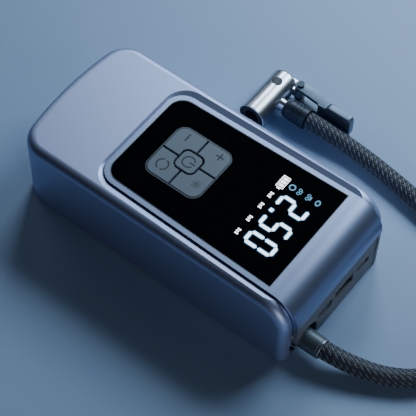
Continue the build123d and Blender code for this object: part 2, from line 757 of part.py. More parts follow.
def outlet_ring():
    """The knurled ring round the outlet."""
    ring = along_y(OUTLET_X, OUTLET_Z, 73.05, 75.4, 7.1)
    ring -= along_y(OUTLET_X, OUTLET_Z, 60, 90, NIPPLE_R + 0.02)
    return ring


def outlet_seal():
    ring = along_y(OUTLET_X, OUTLET_Z, 75.42, 76.9, 6.0)
    return ring - along_y(OUTLET_X, OUTLET_Z, 60, 90, NIPPLE_R + 0.02)


# ---------------------------------------------------------------- hose and chuck

def coupling_nut():
    nut = along_y(OUTLET_X, OUTLET_Z, NUT_Y0, NUT_Y1, NUT_R)
    nut = fillet(nut.edges(), 0.5)
    return nut - along_y(OUTLET_X, OUTLET_Z, 60, 100, NUT_BORE_R)


def hose():
    return swept_tube(HOSE_ROUTE, HOSE_R, "hose")


def chuck_ferrule():
    sleeve = along_y(HOSE_END_X, CHUCK_R, FERRULE_Y0, FERRULE_Y1, FERRULE_R)
    sleeve = fillet(sleeve.edges().group_by(Axis.Y)[0], 1.6)
    sleeve = fillet(sleeve.edges().group_by(Axis.Y)[-1], 0.5)
    return sleeve - along_y(HOSE_END_X, CHUCK_R, FERRULE_Y0 - 5, FERRULE_Y1 - 3, 1.6)


def chuck_neck():
    neck = along_y(HOSE_END_X, CHUCK_R, CHUCK_Y + 4.5, FERRULE_Y0 - 0.02, 3.1)
    return neck - along_y(HOSE_END_X, CHUCK_R, -30, 30, 1.6)


def chuck_barrel():
    """The head: a tube along X with a lug at the back for the lever."""
    barrel = along_x(CHUCK_Y, CHUCK_R, CHUCK_X0, CHUCK_X1, CHUCK_R)
    barrel = fillet(barrel.edges().group_by(Axis.X)[0], 2.0)
    barrel = fillet(barrel.edges().group_by(Axis.X)[-1], 0.6)
    lug = block(LEVER_X - 2.8, LEVER_X + 2.8, CHUCK_Y + 2, LEVER_Y, 4.6, 10.0)
    lug += along_z(LEVER_X, LEVER_Y, 4.6, 10.0, 2.8)
    barrel += lug
    barrel -= along_x(CHUCK_Y, CHUCK_R, CHUCK_X1 - MOUTH_DEPTH, CHUCK_X1 + 5, GASKET_R + 0.04)
    barrel -= along_x(CHUCK_Y, CHUCK_R, CHUCK_X0 + 4.0, CHUCK_X1, PLUNGER_R + 0.06)
    barrel -= along_y(HOSE_END_X, CHUCK_R, CHUCK_Y, 0, 3.12)
    barrel -= along_z(LEVER_X, LEVER_Y, -5, 20, 1.0)
    return barrel


def chuck_gasket():
    """The rubber mouth that seals on the tyre valve."""
    gasket = along_x(CHUCK_Y, CHUCK_R, CHUCK_X1 - MOUTH_DEPTH + 0.1, CHUCK_X1 - 0.3, GASKET_R)
    return gasket - along_x(CHUCK_Y, CHUCK_R, CHUCK_X1 - 20, CHUCK_X1 + 5, GASKET_BORE_R)


def chuck_plunger():
    """The plunger behind the gasket, with the pin that opens the valve core."""
    body = along_x(CHUCK_Y, CHUCK_R, -83.5, CHUCK_X1 - 10.8, PLUNGER_R)
    tip = CHUCK_X1 - MOUTH_DEPTH - 0.7
    return body + along_x(CHUCK_Y, CHUCK_R, CHUCK_X1 - 11.0, tip, 1.0)


def chuck_lever():
    """The thumb lever: two cheeks on the pin, a web and a tall tab."""
    outline = make_face(
        Polyline(
            (LEVER_X - 2.9, LEVER_Y), (LEVER_X + 2.9, LEVER_Y), (LEVER_X + 4.7, LEVER_Y + 18.4),
            (LEVER_X + 1.0, LEVER_Y + 18.4), (LEVER_X - 1.6, LEVER_Y + 10.0), close=True,
        )
    )
    flat = extrude(outline, 1.9) + along_z(LEVER_X, LEVER_Y, 0, 1.9, 2.9)
    lever = Pos(0, 0, 2.4) * flat + Pos(0, 0, 10.3) * flat
    lever += block(LEVER_X + 1.0, LEVER_X + 4.7, LEVER_Y + 13.4, LEVER_Y + 19.0, 2.4, 12.2)
    tab = block(LEVER_X + 1.1, LEVER_X + 4.9, LEVER_Y + 18.0, LEVER_Y + 33.0, 0.6, 14.0)
    tab = fillet(tab.edges().filter_by(Axis.Z).group_by(Axis.Y)[-1], 1.7)
    lever += tab
    return lever - along_z(LEVER_X, LEVER_Y, -5, 20, 1.05)


def lever_pin():
    pin = along_z(LEVER_X, LEVER_Y, 1.4, 13.2, 1.0)
    pin += along_z(LEVER_X, LEVER_Y, 1.3, 2.2, 1.8)
    pin += along_z(LEVER_X, LEVER_Y, 12.4, 13.3, 1.8)
    return pin


NODES = {
    "upper_shell": upper_shell,
    "base_cover": base_cover,
    "feet": feet,
    "base_screws": base_screws,
    "fascia_frame": fascia_frame,
    "display_lens": display_lens,
    "key_bezel": key_bezel,
    "key_plus": lambda: corner_key(-1, 1),
    "key_lamp": lambda: corner_key(1, 1),
    "key_minus": lambda: corner_key(-1, -1),
    "key_mode": lambda: corner_key(1, -1),
    "key_power": power_key,
    "key_mat": key_mat,
    "display_board": display_board,
    "display_module": display_module,
    "main_board": main_board,
    "board_parts": board_parts,
    "port_board": port_board,
    "usb_a_socket": usb_a_socket,
    "usb_c_socket": usb_c_socket,
    "end_panel": end_panel,
    "vent_grille": vent_grille,
    "lamp_lens": lamp_lens,
    "lamp_reflector": lamp_reflector,
    "lamp_led": lamp_led,
    "battery_cells": battery_cells,
    "battery_holder": battery_holder,
    "battery_tabs": battery_tabs,
    "motor_can": motor_can,
    "motor_end_cap": motor_end_cap,
    "motor_magnets": motor_magnets,
    "motor_rotor": motor_rotor,
    "motor_shaft": motor_shaft,
    "pinion": pinion,
    "drive_gear": drive_gear,
    "gear_shaft": gear_shaft,
    "crank_pin": crank_pin,
    "gear_bush": gear_bush,
    "gearbox_bracket": gearbox_bracket,
    "bracket_screws": bracket_screws,
    "cylinder": cylinder,
    "cylinder_head": cylinder_head,
    "reed_valve": reed_valve,
    "piston": piston,
    "piston_seal": piston_seal,
    "connecting_rod": connecting_rod,
    "air_pipe": air_pipe,
    "outlet_block": outlet_block,
    "pressure_sensor": pressure_sensor,
    "outlet_ring": outlet_ring,
    "outlet_seal": outlet_seal,
    "coupling_nut": coupling_nut,
    "hose": hose,
    "chuck_ferrule": chuck_ferrule,
    "chuck_neck": chuck_neck,
    "chuck_barrel": chuck_barrel,
    "chuck_gasket": chuck_gasket,
    "chuck_plunger": chuck_plunger,
    "chuck_lever": chuck_lever,
    "lever_pin": lever_pin,
}


def main():
    os.makedirs("parts", exist_ok=True)
    for name, make in NODES.items():
        export_step(make(), "parts/" + name + ".step")


main()
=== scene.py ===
import math

import bmesh
import bpy
from mathutils import Matrix, Vector


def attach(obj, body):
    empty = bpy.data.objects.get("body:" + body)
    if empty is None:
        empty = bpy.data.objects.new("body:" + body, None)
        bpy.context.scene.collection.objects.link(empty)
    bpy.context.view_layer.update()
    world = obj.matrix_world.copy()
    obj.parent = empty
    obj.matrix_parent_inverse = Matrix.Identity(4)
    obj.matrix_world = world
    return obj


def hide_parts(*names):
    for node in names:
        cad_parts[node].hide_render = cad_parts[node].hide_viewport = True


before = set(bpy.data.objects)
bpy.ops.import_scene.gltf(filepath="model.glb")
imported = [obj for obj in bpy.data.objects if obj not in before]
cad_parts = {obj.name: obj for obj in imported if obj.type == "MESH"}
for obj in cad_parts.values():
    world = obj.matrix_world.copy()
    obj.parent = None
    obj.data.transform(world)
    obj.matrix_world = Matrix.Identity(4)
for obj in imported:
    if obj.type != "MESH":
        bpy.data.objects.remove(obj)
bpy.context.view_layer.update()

# Looks of a portable tyre inflator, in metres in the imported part's frame: +Z out of the
# display, +Y towards the port end, +X to the right of a person who reads the display.

MM = 0.001

# Sizes of the CAD part that the pieces are fitted to, in millimetres
TOP_Z = 42.0
KEY_TOP = 42.5
PANEL_Y = 79.0
PORT_Z = 15.0
OUTLET_X, OUTLET_Z = 25.1, 9.0
BARREL_Y, BARREL_Z, BARREL_R = -14.8, 7.3, 7.3
HOSE_END_X = -76.0
LEVER_X, LEVER_Y = -88.3, -5.0
SCREW_X = -81.5

# Camera
CAMERA_AT = (0.3084, 0.2318, 0.5997)
CAMERA_BACK = (0.4412, 0.3254, 0.8364)
CAMERA_ROLL = math.radians(1.38)
CAMERA_LENS = 128.94
FLOOR_HALF = 3.0

# Hose route, the same points as in the part's source
HOSE_ROUTE = [
    (0.0251, 0.0798, 0.0090),
    (0.0251, 0.0910, 0.0090),
    (0.0222, 0.1030, 0.0063),
    (0.0172, 0.1170, 0.0044),
    (0.0080, 0.1310, 0.0044),
    (-0.0076, 0.1415, 0.0044),
    (-0.0279, 0.1445, 0.0044),
    (-0.0463, 0.1380, 0.0044),
    (-0.0598, 0.1226, 0.0044),
    (-0.0656, 0.0995, 0.0044),
    (-0.0714, 0.0745, 0.0044),
    (-0.0758, 0.0475, 0.0044),
    (-0.0768, 0.0310, 0.0050),
    (-0.0760, 0.0175, 0.0073),
    (-0.0760, 0.0084, 0.0073),
]
HOSE_DIAMETER = 0.0088
BRAID_STRANDS = 22
BRAID_PITCH = 0.034


# ---------------------------------------------------------------- node helpers

def new_material(name):
    """A node material with its Principled shader."""
    material = bpy.data.materials.new(name)
    material.use_nodes = True
    shader = material.node_tree.nodes["Principled BSDF"]
    return material, material.node_tree, shader


def set_inputs(shader, **values):
    """Sets sockets by name, with underscores for spaces."""
    for key, value in values.items():
        shader.inputs[key.replace("_", " ")].default_value = value


def noise(tree, scale, detail=2.0, stretch=(1, 1, 1)):
    """A noise texture on object coordinates in metres."""
    coords = tree.nodes.new("ShaderNodeTexCoord")
    mapping = tree.nodes.new("ShaderNodeMapping")
    mapping.inputs["Scale"].default_value = stretch
    texture = tree.nodes.new("ShaderNodeTexNoise")
    texture.inputs["Scale"].default_value = scale
    texture.inputs["Detail"].default_value = detail
    tree.links.new(coords.outputs["Object"], mapping.inputs["Vector"])
    tree.links.new(mapping.outputs["Vector"], texture.inputs["Vector"])
    return texture.outputs["Fac"]


def ramp(tree, value, stops):
    """A colour ramp of (position, colour) stops."""
    node = tree.nodes.new("ShaderNodeValToRGB")
    elements = node.color_ramp.elements
    while len(elements) < len(stops):
        elements.new(0.5)
    for element, (position, colour) in zip(elements, stops):
        element.position = position
        element.color = (*colour, 1)
    tree.links.new(value, node.inputs["Fac"])
    return node.outputs["Color"]


def grey_ramp(tree, value, low, high, start=0.3, end=0.7):
    """Maps a value to a range of plain numbers."""
    node = tree.nodes.new("ShaderNodeMapRange")
    node.inputs["From Min"].default_value = start
    node.inputs["From Max"].default_value = end
    node.inputs["To Min"].default_value = low
    node.inputs["To Max"].default_value = high
    tree.links.new(value, node.inputs["Value"])
    return node.outputs["Result"]


def bump(tree, shader, height, distance, strength=0.3):
    """Fine relief from a value, on the shader's normal."""
    node = tree.nodes.new("ShaderNodeBump")
    node.inputs["Strength"].default_value = strength
    node.inputs["Distance"].default_value = distance
    tree.links.new(height, node.inputs["Height"])
    tree.links.new(node.outputs["Normal"], shader.inputs["Normal"])


def textured(name, dark, light, roughness, scale, metallic=0.0, grain=0.3, depth=0.02 * MM,
             stretch=(1, 1, 1), **extra):
    """A material whose colour, roughness and surface vary with one grain of noise."""
    material, tree, shader = new_material(name)
    value = noise(tree, scale, 3.0, stretch)
    colour = ramp(tree, value, [(0.3, dark), (0.7, light)])
    tree.links.new(colour, shader.inputs["Base Color"])
    rough = grey_ramp(tree, value, roughness[0], roughness[1])
    tree.links.new(rough, shader.inputs["Roughness"])
    if grain:
        bump(tree, shader, value, depth, grain)
    set_inputs(shader, Metallic=metallic, **extra)
    return material


# ---------------------------------------------------------------- materials

def glowing(name, dark, light, strength):
    """A lit part of the display, slightly uneven as behind a diffuser."""
    material, tree, shader = new_material(name)
    colour = ramp(tree, noise(tree, 900), [(0.3, dark), (0.7, light)])
    tree.links.new(colour, shader.inputs["Emission Color"])
    set_inputs(shader, Base_Color=(0.02, 0.03, 0.04, 1), Roughness=0.3, Emission_Strength=strength)
    return material


def circuit():
    """Green solder mask with raised tracks."""
    material, tree, shader = new_material("circuit_board")
    coords = tree.nodes.new("ShaderNodeTexCoord")
    bricks = tree.nodes.new("ShaderNodeTexBrick")
    bricks.inputs["Scale"].default_value = 260
    bricks.inputs["Mortar Size"].default_value = 0.03
    bricks.inputs["Color1"].default_value = (0.010, 0.075, 0.035, 1)
    bricks.inputs["Color2"].default_value = (0.014, 0.095, 0.045, 1)
    bricks.inputs["Mortar"].default_value = (0.035, 0.190, 0.095, 1)
    tree.links.new(coords.outputs["Object"], bricks.inputs["Vector"])
    tree.links.new(bricks.outputs["Color"], shader.inputs["Base Color"])
    bump(tree, shader, bricks.outputs["Fac"], 0.03 * MM)
    set_inputs(shader, Roughness=0.35)
    return material


SHELL = textured("satin_shell", (0.395, 0.450, 0.655), (0.435, 0.495, 0.715), (0.45, 0.51),
                 9000, metallic=0.90, grain=0.14, depth=0.01 * MM)
TONGUE = textured("satin_tongue", (0.300, 0.350, 0.51), (0.330, 0.385, 0.56), (0.36, 0.40),
                  9000, metallic=0.92, grain=0.10, depth=0.01 * MM)
GLASS = textured("black_glass", (0.0014, 0.0016, 0.0022), (0.0022, 0.0026, 0.0034), (0.03, 0.05),
                 300, grain=0.02, depth=0.01 * MM)
# Lighter grey for the thin rim round the glass: painted highlight along the glass's edge.
RIM_HIGHLIGHT = textured("glass_edge_highlight", (0.16, 0.19, 0.24), (0.22, 0.26, 0.32), (0.25, 0.35), 4000)
KEYS = textured("key_plastic", (0.120, 0.150, 0.180), (0.140, 0.172, 0.205), (0.42, 0.52),
                6000, grain=0.2, depth=0.015 * MM)
LABEL = textured("key_print", (0.010, 0.013, 0.018), (0.016, 0.019, 0.025), (0.5, 0.6), 5000)
BLACK = textured("black_plastic", (0.012, 0.014, 0.017), (0.020, 0.022, 0.026), (0.42, 0.55),
                 5000, grain=0.3)
BASE = textured("base_plastic", (0.030, 0.034, 0.041), (0.046, 0.051, 0.060), (0.55, 0.70), 6500,
                grain=0.6, depth=0.03 * MM)
PANEL = textured("panel_plastic", (0.115, 0.120, 0.138), (0.140, 0.147, 0.168), (0.46, 0.58),
                 7000, grain=0.45)
RUBBER = textured("rubber", (0.010, 0.011, 0.013), (0.018, 0.019, 0.021), (0.62, 0.78), 4000,
                  grain=0.4)
CORD_CORE = textured("braid_core", (0.004, 0.005, 0.007), (0.009, 0.010, 0.013), (0.7, 0.85), 3000,
                     grain=0.4)
THREAD = textured("braid_black", (0.012, 0.016, 0.023), (0.028, 0.035, 0.048), (0.36, 0.52), 3500,
                  grain=0.6, Sheen_Weight=0.2)
BRIGHT_THREAD = textured("braid_light", (0.08, 0.10, 0.14), (0.20, 0.23, 0.31), (0.34, 0.46), 3500,
                         grain=0.6, Sheen_Weight=0.3)
CHROME = textured("chrome", (0.72, 0.75, 0.79), (0.78, 0.81, 0.85), (0.27, 0.30), 120,
                  metallic=1.0, grain=0.0)
GUNMETAL = textured("gunmetal", (0.120, 0.160, 0.185), (0.160, 0.205, 0.235), (0.42, 0.50),
                    3500, metallic=0.60, grain=0.15)
FERRULE = textured("ferrule_black", (0.030, 0.040, 0.055), (0.045, 0.058, 0.078), (0.38, 0.46),
                   3500, metallic=0.50, grain=0.15)
LEVER = textured("satin_lever", (0.120, 0.155, 0.205), (0.155, 0.195, 0.250), (0.36, 0.46), 4500,
                 metallic=0.75, grain=0.2)
RING_METAL = textured("ring_metal", (0.30, 0.31, 0.38), (0.42, 0.43, 0.50), (0.30, 0.40), 3500,
                      metallic=0.9, grain=0.2)
STEEL = textured("steel", (0.42, 0.44, 0.46), (0.55, 0.57, 0.59), (0.24, 0.36), 3000,
                 metallic=1.0, grain=0.15, stretch=(6, 1, 6))
# Socket metal made near black so the port openings look as dark as their shade: painted shade on
# the sockets.
SOCKET_DARKENED = textured("socket_metal", (0.025, 0.028, 0.033), (0.050, 0.054, 0.062), (0.40, 0.52), 3000,
                  metallic=0.7, grain=0.15)
BEZEL = textured("bezel", (0.050, 0.060, 0.072), (0.075, 0.088, 0.102), (0.30, 0.40), 5000,
                 metallic=0.6, grain=0.15)
BRASS = textured("brass", (0.52, 0.37, 0.15), (0.66, 0.49, 0.23), (0.25, 0.40), 2500,
                 metallic=1.0, grain=0.2)
CAST = textured("cast_metal", (0.30, 0.31, 0.33), (0.44, 0.45, 0.47), (0.45, 0.62), 1600,
                metallic=0.9, grain=0.7, depth=0.05 * MM)
WHITE = textured("white_plastic", (0.60, 0.58, 0.52), (0.70, 0.68, 0.62), (0.38, 0.50), 2500)
SILICONE = textured("silicone", (0.42, 0.43, 0.43), (0.52, 0.53, 0.53), (0.55, 0.68), 2500)
MAGNET = textured("magnet", (0.050, 0.046, 0.044), (0.100, 0.095, 0.090), (0.45, 0.65), 1800,
                  metallic=0.5, grain=0.5)
CELL = textured("cell_wrap", (0.010, 0.080, 0.210), (0.016, 0.110, 0.270), (0.22, 0.32), 500,
                grain=0.2, depth=0.05 * MM)
NICKEL = textured("nickel", (0.50, 0.49, 0.45), (0.64, 0.63, 0.59), (0.20, 0.34), 1500,
                  metallic=1.0, grain=0.2)
LENS = textured("lamp_lens", (0.16, 0.19, 0.24), (0.22, 0.26, 0.32), (0.08, 0.14), 1500,
                grain=0.2, Transmission_Weight=0.75, IOR=1.49)
LED = textured("led", (0.75, 0.62, 0.16), (0.86, 0.74, 0.24), (0.30, 0.40), 2500)
CIRCUIT = circuit()
LIT = glowing("lit_white", (0.78, 0.92, 1.0), (0.88, 0.97, 1.0), 3.2)
HALO = glowing("lit_halo", (0.02, 0.22, 0.50), (0.04, 0.28, 0.60), 1.6)
ICON = glowing("lit_icon", (0.10, 0.42, 0.72), (0.16, 0.55, 0.85), 1.0)


def paint(material, *nodes):
    """Gives CAD nodes a material in all their slots."""
    for name in nodes:
        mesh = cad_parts[name].data
        mesh.materials.clear()
        mesh.materials.append(material)


def smooth_cad(angle=math.radians(28)):
    """Smooth shading on the CAD nodes' faces, with their real edges kept sharp."""
    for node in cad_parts.values():
        node.data.shade_smooth()
        node.data.set_sharp_from_angle(angle=angle)


# ---------------------------------------------------------------- stage

def camera():
    """The camera at the solved angle."""
    data = bpy.data.cameras.new("camera")
    data.lens = CAMERA_LENS
    data.sensor_width = 36.0
    data.clip_start = 0.01
    item = bpy.data.objects.new("camera", data)
    bpy.context.scene.collection.objects.link(item)
    back = Vector(CAMERA_BACK).normalized()
    right = Vector((0, 0, 1)).cross(back).normalized()
    up = back.cross(right)
    x = right * math.cos(CAMERA_ROLL) + up * math.sin(CAMERA_ROLL)
    y = back.cross(x)
    turn = Matrix((x, y, back)).transposed().to_4x4()
    item.matrix_world = Matrix.Translation(CAMERA_AT) @ turn
    bpy.context.scene.camera = item


def area_light(name, direction, distance, size, power, colour):
    """A soft box that looks at the object from one direction."""
    data = bpy.data.lights.new(name, "AREA")
    data.shape = "RECTANGLE"
    data.size = size[0]
    data.size_y = size[1]
    data.energy = power
    data.color = colour
    item = bpy.data.objects.new(name, data)
    bpy.context.scene.collection.objects.link(item)
    away = Vector(direction).normalized()
    item.location = away * distance
    item.rotation_euler = away.to_track_quat("Z", "Y").to_euler()


def stage():
    """Pale floor, dim sky, two soft boxes on the chuck's side and one past each end."""
    world = bpy.data.worlds.new("world")
    bpy.context.scene.world = world
    world.use_nodes = True
    background = world.node_tree.nodes["Background"]
    background.inputs["Color"].default_value = (0.62, 0.66, 0.74, 1)
    background.inputs["Strength"].default_value = 0.014
    mesh = bpy.data.meshes.new("floor")
    half = FLOOR_HALF
    mesh.from_pydata([(-half, -half, 0), (half, -half, 0), (half, half, 0), (-half, half, 0)], [],
                     [(0, 1, 2, 3)])
    floor = bpy.data.objects.new("floor", mesh)
    bpy.context.scene.collection.objects.link(floor)
    material = textured("floor", (0.27, 0.39, 0.59), (0.30, 0.42, 0.62), (0.50, 0.58), 12,
                        grain=0.0)
    mesh.materials.append(material)
    area_light("soft", (-0.68, -0.34, 0.65), 0.90, (0.26, 0.30), 3.1, (0.66, 0.83, 1.0))
    area_light("key", (-0.74, 0.20, 0.64), 0.62, (0.30, 0.26), 2.8, (0.68, 0.84, 1.0))
    area_light("rim", (-0.30, -0.80, 0.52), 0.95, (0.40, 0.15), 0.5, (0.74, 0.85, 1.0))
    area_light("end", (0.45, 0.86, 0.24), 0.80, (0.20, 0.15), 1.00, (0.88, 0.93, 1.0))


# ---------------------------------------------------------------- mesh helpers

def piece(name, bm, material, body, angle=30.0):
    """Turns a mesh built in millimetres into an object that rides on a body."""
    bmesh.ops.recalc_face_normals(bm, faces=bm.faces)
    bmesh.ops.scale(bm, vec=(MM, MM, MM), verts=bm.verts)
    mesh = bpy.data.meshes.new(name)
    bm.to_mesh(mesh)
    bm.free()
    mesh.materials.append(material)
    mesh.shade_smooth()
    mesh.set_sharp_from_angle(angle=math.radians(angle))
    item = bpy.data.objects.new(name, mesh)
    bpy.context.scene.collection.objects.link(item)
    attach(item, body)
    return item


def flat(x, y, z):
    """Lays an outline in the XY plane."""
    return (x, y, z)


def facing_y(x, z, y):
    """Lays an outline in the XZ plane, as on the port end."""
    return (x, y, z)


def facing_x(y, z, x):
    """Lays an outline in the YZ plane."""
    return (x, y, z)


def plate(bm, outline, low, high, place=flat, bevel=0.0, both=False):
    """A plate between two levels, with the edges of its high side, or of both, bevelled."""
    bottom = [bm.verts.new(place(a, b, low)) for a, b in outline]
    top = [bm.verts.new(place(a, b, high)) for a, b in outline]
    count = len(outline)
    base = bm.faces.new(bottom)
    cap = bm.faces.new(top)
    for i in range(count):
        j = (i + 1) % count
        bm.faces.new((bottom[i], bottom[j], top[j], top[i]))
    if bevel:
        edges = list(cap.edges)
        if both:
            edges += list(base.edges)
        bmesh.ops.bevel(bm, geom=edges, offset=bevel, segments=3, affect="EDGES", profile=0.5)


def band(bm, outer, inner, low, high, place=flat):
    """A flat ring between two outlines with the same number of points."""
    count = len(outer)
    rings = []
    for outline, level in ((outer, low), (outer, high), (inner, high), (inner, low)):
        rings.append([bm.verts.new(place(a, b, level)) for a, b in outline])
    for one, two in zip(rings, rings[1:] + rings[:1]):
        for i in range(count):
            j = (i + 1) % count
            bm.faces.new((one[i], one[j], two[j], two[i]))


def arc_points(x, y, radius, start, end, steps):
    """Points on an arc, angles in degrees, both ends included."""
    points = []
    for i in range(steps + 1):
        angle = math.radians(start + (end - start) * i / steps)
        points.append((x + radius * math.cos(angle), y + radius * math.sin(angle)))
    return points


def circle(x, y, radius, steps=40):
    """A closed circle of points."""
    return arc_points(x, y, radius, 0, 360, steps)[:-1]


def arc_bar(bm, x, y, radius, stroke, start, end, low, high, steps=24):
    """A printed stroke that follows an arc."""
    outer = arc_points(x, y, radius + stroke / 2, start, end, steps)
    inner = arc_points(x, y, radius - stroke / 2, start, end, steps)
    plate(bm, outer + inner[::-1], low, high)


def bar(x0, x1, y0, y1):
    """A plain rectangle's outline."""
    return [(x0, y0), (x1, y0), (x1, y1), (x0, y1)]


def rounded(x, y, width, height, radius, steps=6):
    """A rectangle with rounded corners."""
    points = []
    dx = width / 2 - radius
    dy = height / 2 - radius
    for sx, sy, start in ((1, 1, 0), (-1, 1, 90), (-1, -1, 180), (1, -1, 270)):
        points += arc_points(x + sx * dx, y + sy * dy, radius, start, start + 90, steps)
    return points


def lathe(bm, profile, place, steps=72, teeth_depth=0.0):
    """A closed ring turned from (along, radius, knurled) points; place puts it in space."""
    rings = []
    for along, radius, knurled in profile:
        ring = []
        for i in range(steps):
            angle = 2 * math.pi * i / steps
            r = radius - teeth_depth * (i % 2) * knurled
            ring.append(bm.verts.new(place(along, r * math.cos(angle), r * math.sin(angle))))
        rings.append(ring)
    for one, two in zip(rings, rings[1:] + rings[:1]):
        for i in range(steps):
            j = (i + 1) % steps
            bm.faces.new((one[i], one[j], two[j], two[i]))


def on_outlet(along, a, b):
    """Turned about the outlet's axis, along Y."""
    return (OUTLET_X + a, along, OUTLET_Z + b)


def on_hose_end(along, a, b):
    """Turned about the axis of the hose's chuck end, along Y."""
    return (HOSE_END_X + a, along, BARREL_Z + b)


def on_barrel(along, a, b):
    """Turned about the chuck barrel's axis, along X."""
    return (along, BARREL_Y + a, BARREL_Z + b)


# ---------------------------------------------------------------- display

SEGMENTS = {
    2: "abged",
    5: "afgcd",
    0: "abcdef",
}
DIGIT_W, DIGIT_H, STROKE = 7.35, 15.4, 1.5
SEGMENT_GAP = 0.3


def segment_outline(letter, x, y, grow):
    """One bar of a seven-segment digit whose lower left corner is x, y."""
    half = STROKE / 2
    left, right = x + half, x + DIGIT_W - half
    low, mid, high = y + half, y + DIGIT_H / 2, y + DIGIT_H - half
    ends = {
        "a": (left, high, right, high), "b": (right, mid, right, high),
        "c": (right, low, right, mid), "d": (left, low, right, low),
        "e": (left, low, left, mid), "f": (left, mid, left, high), "g": (left, mid, right, mid),
    }
    x0, y0, x1, y1 = ends[letter]
    gap = SEGMENT_GAP - 0.5 * grow
    wide = half + grow
    if y0 == y1:
        x0, x1 = x0 + gap, x1 - gap
        return [(x0, y0), (x0 + half, y0 - wide), (x1 - half, y0 - wide), (x1, y0),
                (x1 - half, y0 + wide), (x0 + half, y0 + wide)]
    y0, y1 = y0 + gap, y1 - gap
    return [(x0, y0), (x0 + wide, y0 + half), (x0 + wide, y1 - half), (x0, y1),
            (x0 - wide, y1 - half), (x0 - wide, y0 + half)]


def digit_marks(bm, grow, low, high):
    """The reading 2.50, with a point after its first digit."""
    for digit, x in ((2, -12.7), (5, 0.15), (0, 11.05)):
        for letter in SEGMENTS[digit]:
            plate(bm, segment_outline(letter, x, 36.9, grow), low, high)
    plate(bm, rounded(-2.46, 37.8, 1.7 + 2 * grow, 1.7 + 2 * grow, 0.4 + grow), low, high)


def icon_marks(bm, low, high):
    """A column of small signs: a tyre, two wheels, two wheels with a body, and a ball."""
    x = -18.1
    band(bm, circle(x, 38.2, 1.7), circle(x, 38.2, 1.1), low, high)
    for y, stroke in ((42.5, 0.35), (47.3, 0.75)):
        for side in (-1, 1):
            wheel_x = x + 1.0 * side
            outer = circle(wheel_x, y - 0.5, 0.85, 24)
            inner = circle(wheel_x, y - 0.5, 0.5, 24)
            band(bm, outer, inner, low, high)
        plate(bm, bar(x - 1.0, x + 1.0, y + 0.5, y + 0.5 + stroke), low, high)
    oval = [(x + 1.35 * (px - x), py) for px, py in circle(x, 52.2, 1.25)]
    inner = [(x + 1.35 * (px - x), py) for px, py in circle(x, 52.2, 0.75)]
    band(bm, oval, inner, low, high)


def lower_marks(bm, low, high):
    """The battery sign, and plain bars where the real one names its units."""
    band(bm, rounded(-17.9, 33.2, 7.2, 4.0, 0.6), rounded(-17.9, 33.2, 6.4, 3.2, 0.4), low, high)
    plate(bm, bar(-14.2, -13.6, 32.4, 34.0), low, high)
    for i in range(3):
        plate(bm, bar(-20.7 + 1.95 * i, -19.2 + 1.95 * i, 32.0, 34.4), low, high)
    for x in (-8.8, -1.55, 7.2, 15.8):
        for i in range(3):
            left = x - 1.6 + 1.2 * i
            top = 33.6 - 0.4 * (i % 2)
            plate(bm, bar(left, x - 0.9 + 1.2 * i, 31.8, top), low, high)


def display():
    """Lit marks just above the glass, as the photographed ones show through it."""
    z = TOP_Z
    bm = bmesh.new()
    digit_marks(bm, 0.0, z + 0.010, z + 0.040)
    piece("display_digits", bm, LIT, "housing")
    bm = bmesh.new()
    digit_marks(bm, 0.40, z + 0.002, z + 0.008)
    piece("display_halo", bm, HALO, "housing")
    bm = bmesh.new()
    icon_marks(bm, z + 0.010, z + 0.040)
    piece("display_icons", bm, ICON, "housing")
    bm = bmesh.new()
    lower_marks(bm, z + 0.010, z + 0.040)
    piece("display_units", bm, LIT, "housing")


def glass_outline(shrink):
    """The glass's edge, round at the plain end and square at the port end."""
    radius = 8.0 - shrink
    half0 = 28.1 - shrink
    half1 = 30.25 - shrink
    y0 = -34.55 + shrink
    y1 = 60.9 - shrink
    points = [(half1, y1), (-half1, y1)]
    points += arc_points(-half0 + radius, y0 + radius, radius, 180, 270, 12)
    points += arc_points(half0 - radius, y0 + radius, radius, 270, 360, 12)
    return points


def glass_edge_highlight():
    """The thin rim round the glass, lighter than the glass: a real rim with a painted highlight
    along the glass's edge.
    """
    bm = bmesh.new()
    band(bm, glass_outline(0.02), glass_outline(0.26), TOP_Z - 0.3, TOP_Z + 0.04)
    piece("glass_edge_highlight", bm, RIM_HIGHLIGHT, "housing")


# ---------------------------------------------------------------- key signs

def key_signs():
    """Printed signs on the keys: minus, plus, a broken ring, a power sign and a lamp."""
    low, high = KEY_TOP - 0.02, KEY_TOP + 0.03
    bm = bmesh.new()
    plate(bm, bar(-12.75, -8.25, -16.4, -15.6), low, high)
    piece("sign_minus", bm, LABEL, "minus_key")
    bm = bmesh.new()
    plus = [(-0.38, -2.1), (0.38, -2.1), (0.38, -0.38), (2.1, -0.38), (2.1, 0.38), (0.38, 0.38),
            (0.38, 2.1), (-0.38, 2.1), (-0.38, 0.38), (-2.1, 0.38), (-2.1, -0.38), (-0.38, -0.38)]
    plate(bm, [(x - 10.9, y + 2.5) for x, y in plus], low, high)
    piece("sign_plus", bm, LABEL, "plus_key")
    bm = bmesh.new()
    for start in (12, 192):
        arc_bar(bm, 8.3, -16.0, 2.9, 0.7, start, start + 156, low, high)
    piece("sign_mode", bm, LABEL, "mode_key")
    bm = bmesh.new()
    arc_bar(bm, 0.0, -7.2, 3.0, 0.7, 118, 422, low, high, 40)
    plate(bm, rounded(0.0, -5.1, 0.7, 3.2, 0.3), low, high)
    piece("sign_power", bm, LABEL, "power_key")
    bm = bmesh.new()
    band(bm, circle(7.6, 3.0, 1.05, 28), circle(7.6, 3.0, 0.55, 28), low, high)
    for i in range(8):
        angle = math.radians(45 * i)
        ux, uy = math.cos(angle), math.sin(angle)
        ray = [(1.5, -0.2), (2.3, -0.2), (2.3, 0.2), (1.5, 0.2)]
        plate(bm, [(7.6 + a * ux - b * uy, 3.0 + a * uy + b * ux) for a, b in ray], low, high)
    piece("sign_lamp", bm, LABEL, "lamp_key")


# ---------------------------------------------------------------- port end

